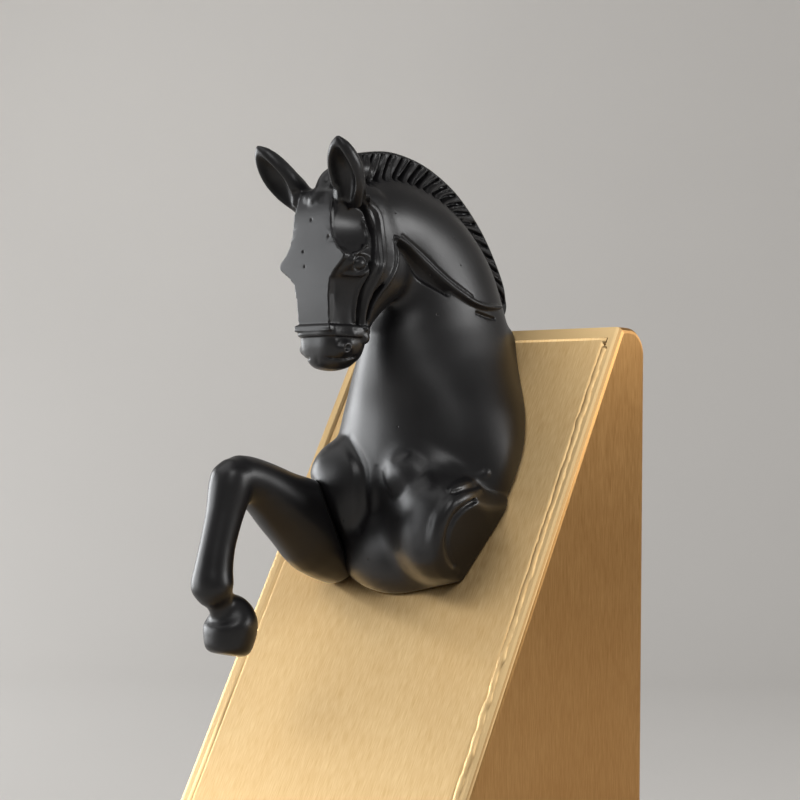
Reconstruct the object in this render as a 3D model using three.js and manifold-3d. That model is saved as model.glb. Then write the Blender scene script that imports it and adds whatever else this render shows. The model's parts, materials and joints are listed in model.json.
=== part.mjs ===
// Horse bookend: a cast horse, front half only, leaping out of the sloping face of a hollow
// sheet-metal wedge that holds a ballast block and stands on a felt pad.
// Millimetres, +Z up, the horse faces -Y and its raised foreleg is on the -X side.
// The origin is the centre of the footprint, on the surface that the wedge stands on.
import * as THREE from "three";
import { mergeVertices } from "three/addons/utils/BufferGeometryUtils.js";
import Module from "manifold-3d";

const wasm = await Module();
wasm.setup();

// ---------------------------------------------------------------- driving dimensions
const GAP = 0.3; // clearance between two pieces that fit into or lie along each other
const BOND = 0.05; // glue, weld or contact line between two flat faces

const wedge = {
  width: 90,
  height: 195,
  topDepth: 11.3,
  slope: THREE.MathUtils.degToRad(29), // sloping face, measured from vertical
  wall: 1.5,
  edgeRadius: 1.6, // where the sides turn into the front, top and back
  heelRadius: 7, // where the top turns down into the back
  frameWidth: 3.2, // front flange that frames the sloping panel at its sides and top
  footFrame: 8, // the same flange along the foot
};
const panel = { sheet: 1.5, edgeRadius: 1.4, skirt: 6, frameGap: 0.6 };
const pad = { thickness: 2, inset: 1.5 };
const basePlate = { thickness: 3 };
const bracket = { leg: 14, sheet: 2, height: 12, toeDistance: 22 };
const baseScrew = { radius: 2, headRadius: 3.8, headDepth: 1.6, length: 8 };
const ballast = { height: 34, sideGap: 2.5, backGap: 16, slopeGap: 10 };
const ballastScrew = { radius: 2.5, headRadius: 4.6, headDepth: 1.6, length: 14, spacing: 36 };
const fixing = {
  radius: 2.5, // M5 screws that pull the horse onto the sloping panel
  length: 16,
  headRadius: 4.6,
  headDepth: 3,
  first: 34, // distances down the slope from its top edge
  second: 60,
};
const washer = { radius: 6.5, thickness: 1.2 };
const stiffener = { width: 52, length: 52, thickness: 2 };
const insert = { radius: 4.2, length: 12 };
const dowel = { radius: 2, length: 14, inBody: 6 };
const figureHeight = 111; // horse, from the foot of its chest to its ear tips
const STATION_HEIGHT = 111; // the same height in the stations below

// ---------------------------------------------------------------- derived dimensions
const shellFoot = pad.thickness + BOND;
const depth = wedge.topDepth + (wedge.height - shellFoot) * Math.tan(wedge.slope);
const topEdge = new THREE.Vector3(0, depth / 2 - wedge.topDepth, wedge.height);
const slopeTurn = Math.PI / 2 - wedge.slope;
const slopeMatrix = new THREE.Matrix4().makeRotationX(slopeTurn);
const placeOnSlope = slopeMatrix.clone().setPosition(topEdge);
const slopeLength = (wedge.height - shellFoot) / Math.cos(wedge.slope);
const figureScale = figureHeight / STATION_HEIGHT;

// ---------------------------------------------------------------- finishes
const finish = {
  blackPaint: new THREE.MeshStandardMaterial({ color: 0x1b1a1c, roughness: 0.45, metalness: 0.1 }),
  brass: new THREE.MeshStandardMaterial({ color: 0xc69a5c, roughness: 0.35, metalness: 1 }),
  brassInsert: new THREE.MeshStandardMaterial({ color: 0xb89b4e, roughness: 0.3, metalness: 1 }),
  steel: new THREE.MeshStandardMaterial({ color: 0x9a9ca0, roughness: 0.4, metalness: 1 }),
  iron: new THREE.MeshStandardMaterial({ color: 0x3b3a39, roughness: 0.8, metalness: 0.6 }),
  felt: new THREE.MeshStandardMaterial({ color: 0x161616, roughness: 0.95, metalness: 0 }),
};

// ---------------------------------------------------------------- solids and booleans
function solidOf(geometry) {
  const bare = geometry.clone();
  bare.deleteAttribute("normal");
  bare.deleteAttribute("uv");
  const merged = mergeVertices(bare, 1e-4);
  return new wasm.Manifold(
    new wasm.Mesh({
      numProp: 3,
      vertProperties: new Float32Array(merged.getAttribute("position").array),
      triVerts: new Uint32Array(merged.index.array),
    }),
  );
}

function geometryOf(solid) {
  const mesh = solid.getMesh();
  const geometry = new THREE.BufferGeometry();
  geometry.setAttribute("position", new THREE.BufferAttribute(mesh.vertProperties, 3));
  geometry.setIndex(new THREE.BufferAttribute(mesh.triVerts, 1));
  geometry.computeVertexNormals();
  return geometry;
}

const join = (...geometries) =>
  geometryOf(geometries.map(solidOf).reduce((whole, next) => whole.add(next)));
const cut = (geometry, ...tools) =>
  geometryOf(tools.map(solidOf).reduce((whole, tool) => whole.subtract(tool), solidOf(geometry)));

function box(width, length, height, x = 0, y = 0, z = 0) {
  return new THREE.BoxGeometry(width, length, height).translate(x, y, z);
}

// A round bar standing on its low end at z.
function bar(radius, length, z = 0, sides = 24) {
  return new THREE.CylinderGeometry(radius, radius, length, sides)
    .rotateX(Math.PI / 2)
    .translate(0, 0, z + length / 2);
}

function piece(parent, name, geometry, material) {
  const mesh = new THREE.Mesh(geometry, material);
  mesh.name = name;
  parent.add(mesh);
  return mesh;
}

// ---------------------------------------------------------------- organic forms
const SIDE = new THREE.Vector3(1, 0, 0);

// A closed skin through elliptical sections, low end first.
// Each station is [x, y, z, half width across, half depth].
function limb(stations, around = 20, rowsPerStation = 2) {
  const spine = new THREE.CatmullRomCurve3(stations.map(([x, y, z]) => new THREE.Vector3(x, y, z)));
  const girth = new THREE.CatmullRomCurve3(stations.map(([, , , a, b]) => new THREE.Vector3(a, b, 0)));
  const skin = new THREE.CylinderGeometry(1, 1, 1, around, (stations.length - 1) * rowsPerStation);
  const points = skin.getAttribute("position");
  const point = new THREE.Vector3();
  for (let i = 0; i < points.count; i++) {
    point.fromBufferAttribute(points, i);
    const t = THREE.MathUtils.clamp(point.y + 0.5, 0, 1);
    const along = spine.getTangent(t);
    const across = SIDE.clone().addScaledVector(along, -SIDE.dot(along)).normalize();
    const outward = new THREE.Vector3().crossVectors(across, along);
    const size = girth.getPoint(t);
    const placed = spine
      .getPoint(t)
      .addScaledVector(across, point.x * size.x)
      .addScaledVector(outward, point.z * size.y);
    points.setXYZ(i, placed.x, placed.y, placed.z);
  }
  return skin;
}

// A closed skin through symmetrical outlines, low end first.
// Each station is [z, [[x, y], ...]], the left half from the front midline to the back midline.
function shell(stations, around = 24, rowsPerStation = 2) {
  const lines = stations[0][1].map(
    (_, k) => new THREE.CatmullRomCurve3(stations.map(([z, half]) => new THREE.Vector3(...half[k], z))),
  );
  const skin = new THREE.CylinderGeometry(1, 1, 1, around, (stations.length - 1) * rowsPerStation);
  const points = skin.getAttribute("position");
  const point = new THREE.Vector3();
  for (let i = 0; i < points.count; i++) {
    point.fromBufferAttribute(points, i);
    const t = THREE.MathUtils.clamp(point.y + 0.5, 0, 1);
    const half = lines.map((line) => line.getPoint(t));
    const mirrored = half.slice(1, -1).reverse().map((p) => new THREE.Vector3(-p.x, p.y, p.z));
    const ring = new THREE.CatmullRomCurve3([...half, ...mirrored], true);
    const turn = Math.atan2(point.x, point.z) / (2 * Math.PI);
    const onRing = ring.getPoint((turn + 1) % 1);
    const middle = half[0].clone().lerp(half[half.length - 1], 0.5);
    const placed = middle.lerp(onRing, Math.min(1, Math.hypot(point.x, point.z)));
    points.setXYZ(i, placed.x, placed.y, placed.z);
  }
  return skin;
}

// A muscle: a sphere stretched to three half sizes and turned about X.
function muscle(x, y, z, halfX, halfY, halfZ, turn = 0) {
  return new THREE.SphereGeometry(1, 18, 12)
    .rotateX(Math.PI / 2)
    .scale(halfX, halfY, halfZ)
    .rotateX(turn)
    .translate(x, y, z);
}

const grown = (stations, by) => stations.map(([x, y, z, a, b]) => [x, y, z, a + by, b + by]);
const mirrorX = (stations) => stations.map(([x, ...rest]) => [-x, ...rest]);

// ---------------------------------------------------------------- the horse, stations from the top edge
const TRUNK = [
  [0, -24.6, -72.5, 2, 3],
  [0, -24.6, -71, 9, 11],
  [0, -24.4, -66, 17, 17],
  [0, -23.6, -60, 23, 20.8],
  [0, -22.2, -53, 27, 22.8],
  [0, -20.8, -45, 28.5, 24],
  [0, -19.9, -38, 28.5, 24.5],
  [0, -19.5, -30, 27.5, 24.6],
  [0, -19.4, -22, 25, 24.6],
  [0, -19.6, -15, 21.5, 25.3],
  [0, -20, -8, 18, 25.2],
  [0, -20.8, 0, 15.2, 24.2],
  [0, -23, 8, 13.5, 22.8],
  [0, -28, 15.5, 12, 19.6],
  [0, -36, 21, 10.5, 15.8],
  [0, -44.4, 23.5, 9.5, 13.5],
  [0, -52.4, 22, 8.5, 12],
  [0, -58, 20, 5, 7],
];
const MANE = [
  [0, -55, 33.5, 1.2, 2],
  [0, -50, 37.5, 2.4, 3.6],
  [0, -36, 38.2, 2.8, 4.4],
  [0, -24.5, 34.6, 3, 4.6],
  [0, -13.5, 27.6, 3, 4.8],
  [0, -5.2, 18.6, 2.8, 4.8],
  [0, 1.6, 10.6, 2.4, 4.2],
  [0, 5.5, 5, 1, 2.2],
];
const HEAD = [
  [-11.8, [[0, -65.5], [1.8, -65.3], [3.4, -64], [4, -61.5], [3.6, -59], [2, -57.5], [0, -57]]],
  [-10, [[0, -67.2], [3, -67], [5.3, -65.4], [6.2, -61.5], [5.6, -57.6], [3.2, -55.6], [0, -55]]],
  [-7, [[0, -68], [4, -67.8], [6.6, -66], [7.4, -61.5], [6.7, -57], [4, -54.6], [0, -54]]],
  [-3.5, [[0, -68], [3.9, -67.9], [5.9, -66.4], [7, -61], [6.6, -56], [4, -53], [0, -52.2]]],
  [0.5, [[0, -68.1], [3.8, -68], [5.2, -67], [6.9, -60.5], [6.9, -54.5], [4.5, -50], [0, -49]]],
  [5, [[0, -68.2], [3.9, -68.1], [5.3, -67.1], [8, -59.5], [8.6, -51.5], [6.2, -45.5], [0, -44]]],
  [9, [[0, -68.6], [4.4, -68.5], [6.2, -67.3], [9.6, -61], [10.4, -50], [8, -41.8], [0, -40]]],
  [13, [[0, -69.4], [7.4, -69.2], [12, -67.5], [12.2, -63], [10.9, -50], [8.6, -41], [0, -38.5]]],
  [16.5, [[0, -69.5], [5.8, -69.3], [9, -67.8], [10.2, -62], [10.3, -50], [8.6, -41], [0, -38.5]]],
  [21, [[0, -69.6], [5.2, -69.3], [7.2, -68], [8.8, -60], [9.6, -50], [8.2, -42], [0, -40]]],
  [26, [[0, -69], [5, -68.7], [6.9, -67.3], [8.4, -59], [9, -51], [7.6, -44], [0, -42]]],
  [30.5, [[0, -66.9], [4, -66.5], [6, -65], [7.4, -58], [7.8, -52], [6.5, -47], [0, -45]]],
  [34, [[0, -62.5], [2.5, -62.2], [4.2, -61], [5, -57], [5, -53], [4, -50], [0, -49]]],
];
const EAR = [
  [7, -60.5, 24, 3.4, 3.4],
  [8, -63.4, 28, 3.8, 4],
  [9.6, -67, 32, 4.4, 4.4],
  [11.4, -70.6, 36, 4, 3.8],
  [12.9, -73.8, 39.6, 2.6, 2.4],
  [13.9, -76.2, 42.2, 0.5, 0.5],
];
const EAR_HOLLOW = [
  [8.9, -68.6, 29.5, 1.2, 1.2],
  [10.2, -70.6, 32.6, 2.6, 2.6],
  [11.6, -73, 36, 2.4, 2.2],
  [12.9, -75.6, 39, 0.8, 0.8],
];
const FOREARM = [
  [-19, -26.4, -57.5, 9, 11.6],
  [-19.5, -36.5, -55.6, 10, 12.4],
  [-19.5, -45.2, -52.9, 9.8, 12.2],
  [-19.2, -51.5, -49.8, 9, 10.6],
  [-19, -58.2, -46.6, 8, 8.8],
  [-18.6, -64.3, -43.4, 7, 7.3],
  [-18.3, -70, -40.9, 6.2, 6.2],
  [-18, -76.4, -39.5, 5.5, 5.5],
  [-18, -80.6, -39.8, 2, 2],
];
const CANNON = [
  [-18, -80.6, -72.2, 3.2, 3.4],
  [-18, -81.5, -69.8, 3.5, 3.6],
  [-18, -83.9, -66.4, 5.6, 5.6],
  [-18, -83.8, -63.1, 4.9, 5.1],
  [-18, -82.4, -56.2, 4.4, 4.6],
  [-18, -80.1, -48.6, 4.7, 4.9],
  [-18, -78.3, -42.2, 5.5, 5.7],
  [-18, -77.6, -38.4, 5.2, 5.2],
  [-18, -77.2, -35.2, 2.2, 2.2],
];
const HOOF = [
  [-18, -78.8, -83.3, 4.4, 4.6],
  [-18, -78.6, -82.3, 5.8, 5.8],
  [-18, -77.9, -79, 6.6, 6.6],
  [-18, -77.6, -75.9, 7, 7],
  [-18, -78, -73.4, 6.2, 6.2],
  [-18, -79.6, -71.4, 4, 4.4],
  [-18, -80.8, -70.2, 3, 3.2],
];

// The joint between chest and raised foreleg: a point on it and the way the leg leaves it.
const legJoint = new THREE.Matrix4()
  .makeRotationFromQuaternion(
    new THREE.Quaternion().setFromUnitVectors(
      new THREE.Vector3(0, 0, 1),
      new THREE.Vector3(-0.717, -0.596, -0.346).normalize(),
    ),
  )
  .setPosition(-17.9, -38.1, -53.5);

// Everything behind the sloping face, in the horse's upright frame.
function behindSlope(clearance) {
  return box(400, 400, 400, 0, 0, -200 + clearance).applyMatrix4(slopeMatrix);
}

// The half of space on the body's side of the joint between chest and raised foreleg.
function bodySideOfJoint(shift) {
  return box(200, 200, 200, 0, 0, -100 + shift).applyMatrix4(legJoint);
}

function dowelBar(clearance) {
  const placed = legJoint.clone();
  placed.elements[12] *= figureScale;
  placed.elements[13] *= figureScale;
  placed.elements[14] *= figureScale;
  return bar(
    dowel.radius + clearance,
    dowel.length + 2 * clearance,
    -dowel.inBody - clearance,
  ).applyMatrix4(placed);
}

const fixingStations = [
  ["upper", fixing.first],
  ["lower", fixing.second],
];

// A fixing's own axis: z runs out of the sloping face, with 0 on that face.
const onFixing = (geometry, down) => geometry.translate(0, -down, 0);

function horseBody() {
  const ears = [EAR, mirrorX(EAR)].map((stations) => limb(stations, 14));
  const earHollows = [EAR_HOLLOW, mirrorX(EAR_HOLLOW)].map((stations) => limb(stations, 12));
  const muscles = [
    muscle(-16.5, -36, -45.5, 10.5, 12, 16.5, 0.2), // right shoulder, over the raised foreleg
    muscle(20.5, -40, -50.5, 8.5, 13.5, 12.5, -0.5), // left upper arm, folded back
    muscle(-8.5, -40, -41, 9, 6, 11),
    muscle(8.5, -40, -41, 9, 6, 11),
  ];
  const room = cut(limb(grown(FOREARM, GAP), 20), bodySideOfJoint(-GAP / 2));
  const whole = join(limb(TRUNK, 28), limb(MANE, 12), shell(HEAD), ...ears, ...muscles, limb(FOREARM, 20));
  return cut(cut(whole, ...earHollows, room).scale(figureScale, figureScale, figureScale), behindSlope(GAP));
}

function raisedForeleg() {
  const leg = join(limb(FOREARM, 20), limb(CANNON, 18), limb(HOOF, 18));
  const free = cut(leg, bodySideOfJoint(GAP / 2)).scale(figureScale, figureScale, figureScale);
  return cut(free, behindSlope(GAP));
}

// ---------------------------------------------------------------- the wedge
// Where a plane lying `inset` behind the sloping face stands at height z.
function slopeInsideAt(z, inset) {
  const face = topEdge.y - (wedge.height - z) * Math.tan(wedge.slope);
  return face + inset / Math.cos(wedge.slope);
}

// Side profile set in by `inset` from the outer faces, standing on `foot`.
function wedgeProfile(inset, foot) {
  const top = wedge.height - inset;
  const back = depth / 2 - inset;
  const heel = wedge.heelRadius - inset;
  const profile = new THREE.Shape();
  profile.moveTo(slopeInsideAt(foot, inset), foot);
  profile.lineTo(back, foot);
  profile.lineTo(back, top - heel);
  profile.absarc(back - heel, top - heel, heel, 0, Math.PI / 2, false);
  profile.lineTo(slopeInsideAt(top, inset), top);
  profile.closePath();
  return profile;
}

// A profile drawn in Y and Z, carried across the width with rounded side edges.
function acrossWidth(profile, width, round) {
  const rounding = { bevelThickness: round, bevelSize: round, bevelOffset: -round, bevelSegments: 3 };
  const settings = round ? { ...rounding, bevelEnabled: true } : { bevelEnabled: false };
  const straight = width - 2 * round;
  const basis = new THREE.Matrix4().makeBasis(
    new THREE.Vector3(0, 1, 0),
    new THREE.Vector3(0, 0, 1),
    new THREE.Vector3(1, 0, 0),
  );
  return new THREE.ExtrudeGeometry(profile, { depth: straight, curveSegments: 8, ...settings })
    .translate(0, 0, -straight / 2)
    .applyMatrix4(basis);
}

const frontWidth = wedge.width - 2 * wedge.frameWidth;
const frontLength = slopeLength - wedge.frameWidth - wedge.footFrame;
const trayWidth = frontWidth - 2 * panel.frameGap;
const trayLength = frontLength - 2 * panel.frameGap;
const trayMiddle = -(wedge.frameWidth + frontLength / 2);

function bodyShell() {
  const below = shellFoot - 4 * wedge.edgeRadius;
  const outer = acrossWidth(wedgeProfile(0, below), wedge.width, wedge.edgeRadius);
  const inner = acrossWidth(wedgeProfile(wedge.wall, below - 10), wedge.width - 2 * wedge.wall, 0);
  const front = box(frontWidth, frontLength, 6 * wedge.wall, 0, trayMiddle, 0);
  const footCut = box(400, 400, 100, 0, 0, shellFoot - 50);
  return cut(outer, inner, footCut, front.applyMatrix4(placeOnSlope));
}

// A tray with rolled front edges, open at the back and at its lower end.
function slopeTray() {
  const rim = panel.edgeRadius;
  const outline = new THREE.Shape();
  outline.moveTo(-trayWidth / 2, -panel.skirt);
  outline.lineTo(trayWidth / 2, -panel.skirt);
  outline.lineTo(trayWidth / 2, -rim);
  outline.absarc(trayWidth / 2 - rim, -rim, rim, 0, Math.PI / 2, false);
  outline.absarc(-trayWidth / 2 + rim, -rim, rim, Math.PI / 2, Math.PI, false);
  outline.closePath();
  const tray = new THREE.ExtrudeGeometry(outline, {
    depth: trayLength,
    bevelEnabled: false,
    curveSegments: 5,
  })
    .translate(0, 0, -trayLength / 2)
    .rotateX(Math.PI / 2)
    .translate(0, trayMiddle, 0);
  const hollow = box(
    trayWidth - 2 * panel.sheet,
    trayLength,
    panel.skirt,
    0,
    trayMiddle - panel.sheet,
    -panel.sheet - panel.skirt / 2,
  );
  const holes = fixingStations.map(([, down]) => onFixing(bar(fixing.radius + GAP, 10, -5), down));
  return cut(tray, hollow, ...holes);
}

// Fills the width between the tray's folded edge and the side wall.
function panelRail(side) {
  const outer = wedge.width / 2 - wedge.wall - BOND;
  const inner = trayWidth / 2 + BOND;
  const height = panel.skirt - wedge.wall - 2 * GAP;
  return box(
    outer - inner,
    trayLength * 0.8,
    height,
    (side * (outer + inner)) / 2,
    trayMiddle,
    -wedge.wall - GAP - height / 2,
  );
}

function stiffenerPlate() {
  const middle = -(fixing.first + fixing.second) / 2;
  const top = -panel.sheet - BOND;
  const plate = box(
    stiffener.width,
    stiffener.length,
    stiffener.thickness,
    0,
    middle,
    top - stiffener.thickness / 2,
  );
  const holes = fixingStations.map(([, down]) => onFixing(bar(fixing.radius + GAP, 30, -15), down));
  return cut(plate, ...holes);
}

const washerFace = -panel.sheet - stiffener.thickness - 2 * BOND;
const headFace = washerFace - washer.thickness - BOND;

function fixingWasher(down) {
  const ring = bar(washer.radius, washer.thickness, washerFace - washer.thickness);
  return onFixing(cut(ring, bar(fixing.radius + GAP, 30, -15)), down);
}

// Cap screw with a hexagon socket: the shank points along +Z from the underside of the head.
function capScrew(radius, length, headRadius, headDepth, socket) {
  const shank = bar(radius, length + headDepth / 2, -headDepth / 2);
  const head = bar(headRadius, headDepth, -headDepth);
  const hexagon = bar(socket, headDepth, -1.4 * headDepth, 6);
  return cut(join(shank, head), hexagon);
}

function fixingScrew(down) {
  const screw = capScrew(fixing.radius, fixing.length, fixing.headRadius, fixing.headDepth, 2.3);
  return onFixing(screw.translate(0, 0, headFace), down);
}

function threadedInsert(down) {
  const ring = bar(insert.radius, insert.length, 2 * GAP);
  return onFixing(cut(ring, bar(fixing.radius + GAP, 40, -5)), down);
}

// ---------------------------------------------------------------- base and ballast
const plateTop = pad.thickness + basePlate.thickness;
const plateWidth = wedge.width - 2 * (wedge.wall + GAP);
const toe = slopeInsideAt(plateTop + BOND, wedge.wall + GAP);
const plateBack = depth / 2 - wedge.wall - GAP;
const plateLength = plateBack - toe;
const ballastBack = depth / 2 - wedge.wall - ballast.backGap;
const ballastWidth = wedge.width - 2 * (wedge.wall + bracket.leg + ballast.sideGap);
const ballastFoot = plateTop + 2 * BOND;
const ballastTop = ballastFoot + ballast.height;
const ballastFront = slopeInsideAt(ballastTop, wedge.wall + panel.skirt) + ballast.slopeGap;
const ballastMiddle = (ballastFront + ballastBack) / 2;
const ballastHoles = [-1, 1].map((side) => [0, ballastMiddle + (side * ballastScrew.spacing) / 2]);
const tabMiddleX = wedge.width / 2 - wedge.wall - BOND - bracket.leg / 2;
const baseHoles = [
  ["front_left", tabMiddleX, toe + bracket.toeDistance],
  ["front_right", -tabMiddleX, toe + bracket.toeDistance],
  ["back_left", tabMiddleX, plateBack - bracket.leg],
  ["back_right", -tabMiddleX, plateBack - bracket.leg],
];
const screwLift = 0.2; // screw heads stay this far above the pad

function feltPad() {
  const width = wedge.width - 2 * pad.inset;
  const length = depth - 2 * pad.inset;
  const corner = 3;
  const outline = new THREE.Shape();
  outline.absarc(width / 2 - corner, -length / 2 + corner, corner, -Math.PI / 2, 0, false);
  outline.absarc(width / 2 - corner, length / 2 - corner, corner, 0, Math.PI / 2, false);
  outline.absarc(-width / 2 + corner, length / 2 - corner, corner, Math.PI / 2, Math.PI, false);
  outline.absarc(-width / 2 + corner, -length / 2 + corner, corner, Math.PI, 1.5 * Math.PI, false);
  outline.closePath();
  return new THREE.ExtrudeGeometry(outline, {
    depth: pad.thickness,
    bevelEnabled: false,
    curveSegments: 4,
  });
}

// Clearance hole with a flat-bottomed recess for the head, cut from below the base plate.
function screwHole(radius, headRadius, headDepth, [x, y]) {
  const hole = bar(radius + GAP, 40, -10);
  const recess = bar(headRadius + GAP, 10 + screwLift + headDepth + GAP, pad.thickness - 10);
  return join(hole, recess).translate(x, y, 0);
}

function baseSheet() {
  const sheet = box(plateWidth, plateLength, basePlate.thickness).translate(
    0,
    (plateBack + toe) / 2,
    pad.thickness + BOND + basePlate.thickness / 2,
  );
  const { radius, headRadius, headDepth } = baseScrew;
  const corners = baseHoles.map(([, x, y]) => screwHole(radius, headRadius, headDepth, [x, y]));
  const middles = ballastHoles.map((at) =>
    screwHole(ballastScrew.radius, ballastScrew.headRadius, ballastScrew.headDepth, at),
  );
  return cut(sheet, ...corners, ...middles);
}

function ballastBlock() {
  const chamfer = 2;
  const outline = new THREE.Shape();
  outline.moveTo(ballastFront, ballastFoot);
  outline.lineTo(ballastBack, ballastFoot);
  outline.lineTo(ballastBack, ballastTop - chamfer);
  outline.lineTo(ballastBack - chamfer, ballastTop);
  outline.lineTo(ballastFront + chamfer, ballastTop);
  outline.lineTo(ballastFront, ballastTop - chamfer);
  outline.closePath();
  const holes = ballastHoles.map(([x, y]) =>
    bar(ballastScrew.radius + GAP, ballastScrew.length + 4, plateTop - 4).translate(x, y, 0),
  );
  return cut(acrossWidth(outline, ballastWidth, 0), ...holes);
}

function machineScrew({ radius, length, headRadius, headDepth }, [x, y]) {
  const underHead = pad.thickness + screwLift + headDepth;
  return capScrew(radius, length, headRadius, headDepth, radius * 0.8).translate(x, y, underHead);
}

// Angle tab joined to the side wall, threaded for a base screw.
function nutTab([x, y]) {
  const side = Math.sign(x);
  const foot = plateTop + 2 * BOND;
  const leg = box(bracket.leg, bracket.leg, bracket.sheet, x, y, foot + bracket.sheet / 2);
  const wall = box(
    bracket.sheet,
    bracket.leg,
    bracket.height,
    side * (wedge.width / 2 - wedge.wall - BOND - bracket.sheet / 2),
    y,
    foot + bracket.height / 2,
  );
  return cut(join(leg, wall), bar(baseScrew.radius + GAP, 40).translate(x, y, 0));
}

// ---------------------------------------------------------------- assembly
const bookend = new THREE.Group();

const figure = new THREE.Group();
figure.position.copy(topEdge);
bookend.add(figure);

const sloping = new THREE.Group();
sloping.position.copy(topEdge);
sloping.rotation.x = slopeTurn;
bookend.add(sloping);

const pockets = fixingStations.map(([, down]) =>
  onFixing(bar(insert.radius + GAP, insert.length + 3 * GAP), down).applyMatrix4(slopeMatrix),
);
piece(figure, "horse_body", cut(horseBody(), ...pockets, dowelBar(GAP)), finish.blackPaint);
piece(figure, "raised_foreleg", cut(raisedForeleg(), dowelBar(GAP)), finish.blackPaint);
piece(figure, "foreleg_dowel", dowelBar(0), finish.steel);

piece(bookend, "body_shell", bodyShell(), finish.brass);
piece(sloping, "slope_panel", slopeTray(), finish.brass);
piece(sloping, "panel_rail_left", panelRail(1), finish.steel);
piece(sloping, "panel_rail_right", panelRail(-1), finish.steel);
piece(sloping, "stiffener_plate", stiffenerPlate(), finish.steel);
for (const [name, down] of fixingStations) {
  piece(sloping, `${name}_fixing_screw`, fixingScrew(down), finish.steel);
  piece(sloping, `${name}_fixing_washer`, fixingWasher(down), finish.steel);
  piece(sloping, `${name}_threaded_insert`, threadedInsert(down), finish.brassInsert);
}

piece(bookend, "felt_pad", feltPad(), finish.felt);
piece(bookend, "base_plate", baseSheet(), finish.steel);
piece(bookend, "ballast_block", ballastBlock(), finish.iron);
ballastHoles.forEach((at, index) =>
  piece(bookend, `ballast_screw_${index + 1}`, machineScrew(ballastScrew, at), finish.steel),
);
for (const [corner, x, y] of baseHoles) {
  piece(bookend, `nut_tab_${corner}`, nutTab([x, y]), finish.steel);
  piece(bookend, `base_screw_${corner}`, machineScrew(baseScrew, [x, y]), finish.steel);
}

export default bookend;
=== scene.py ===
"""Horse bookend: a satin black casting on a brushed, gold-coloured metal wedge."""

import json
import math

import bmesh
import bpy
import numpy as np
import openvdb
from mathutils import Matrix, Vector


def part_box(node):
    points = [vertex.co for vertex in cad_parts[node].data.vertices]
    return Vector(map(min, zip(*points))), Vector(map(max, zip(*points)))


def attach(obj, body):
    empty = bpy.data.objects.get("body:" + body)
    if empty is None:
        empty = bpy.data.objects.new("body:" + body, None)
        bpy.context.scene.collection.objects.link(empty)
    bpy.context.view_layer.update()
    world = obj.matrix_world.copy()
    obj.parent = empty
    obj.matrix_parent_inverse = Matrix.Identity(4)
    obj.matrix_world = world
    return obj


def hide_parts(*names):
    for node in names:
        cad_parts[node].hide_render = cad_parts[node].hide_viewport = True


MM = 0.001

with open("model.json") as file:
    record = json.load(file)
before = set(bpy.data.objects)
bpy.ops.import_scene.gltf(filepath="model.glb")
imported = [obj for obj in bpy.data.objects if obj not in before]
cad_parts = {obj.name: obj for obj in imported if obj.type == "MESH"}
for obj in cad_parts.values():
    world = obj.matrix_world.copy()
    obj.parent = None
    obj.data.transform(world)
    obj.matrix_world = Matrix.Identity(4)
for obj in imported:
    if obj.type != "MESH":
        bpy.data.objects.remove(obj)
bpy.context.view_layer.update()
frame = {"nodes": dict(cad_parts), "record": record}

# ---------------------------------------------------------------- places, in metres, from the frame
_, shell_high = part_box("body_shell")
panel_low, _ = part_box("slope_panel")
TOP_DEPTH = 11.3 * MM  # the narrow level top, front to back
LEAN = math.radians(29)  # the slope, from upright
EDGE = Vector((0, shell_high.y - TOP_DEPTH, shell_high.z))  # where the slope meets the top
OUT = (0, -math.cos(LEAN), math.sin(LEAN))  # straight out of the slope
BODY_TRIANGLES = 190000
LEG_TRIANGLES = 60000


# ---------------------------------------------------------------- materials
def linear(code):
    """An sRGB hex colour as linear RGBA."""
    channels = [int(code[i : i + 2], 16) / 255 for i in (0, 2, 4)]
    return [c / 12.92 if c <= 0.04045 else ((c + 0.055) / 1.055) ** 2.4 for c in channels] + [1.0]


def node(tree, kind, settings=None, **sockets):
    """Adds a node; a socket takes a value or another node's output."""
    made = tree.nodes.new(kind)
    for key, value in (settings or {}).items():
        setattr(made, key, value)
    for key, value in sockets.items():
        index = int(key[1:]) if key[0] == "i" and key[1:].isdigit() else key.replace("_", " ")
        socket = made.inputs[index]
        if isinstance(value, bpy.types.NodeSocket):
            tree.links.new(value, socket)
        else:
            socket.default_value = value
    return made


def new_material(name):
    material = bpy.data.materials.new(name)
    material.use_nodes = True
    tree = material.node_tree
    return material, tree, tree.nodes["Principled BSDF"]


def place(tree, turn=(0, 0, 0), scale=(1, 1, 1)):
    """Object coordinates, turned and then scaled."""
    coords = node(tree, "ShaderNodeTexCoord")
    turned = node(tree, "ShaderNodeMapping", Vector=coords.outputs["Object"], Rotation=turn)
    return node(tree, "ShaderNodeMapping", Vector=turned.outputs[0], Scale=scale).outputs[0]


def ramp(tree, value, stops):
    made = node(tree, "ShaderNodeValToRGB", Fac=value)
    elements = made.color_ramp.elements
    while len(elements) < len(stops):
        elements.new(0.5)
    for element, (position, colour) in zip(elements, stops):
        element.position = position
        element.color = colour
    return made.outputs[0]


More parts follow.
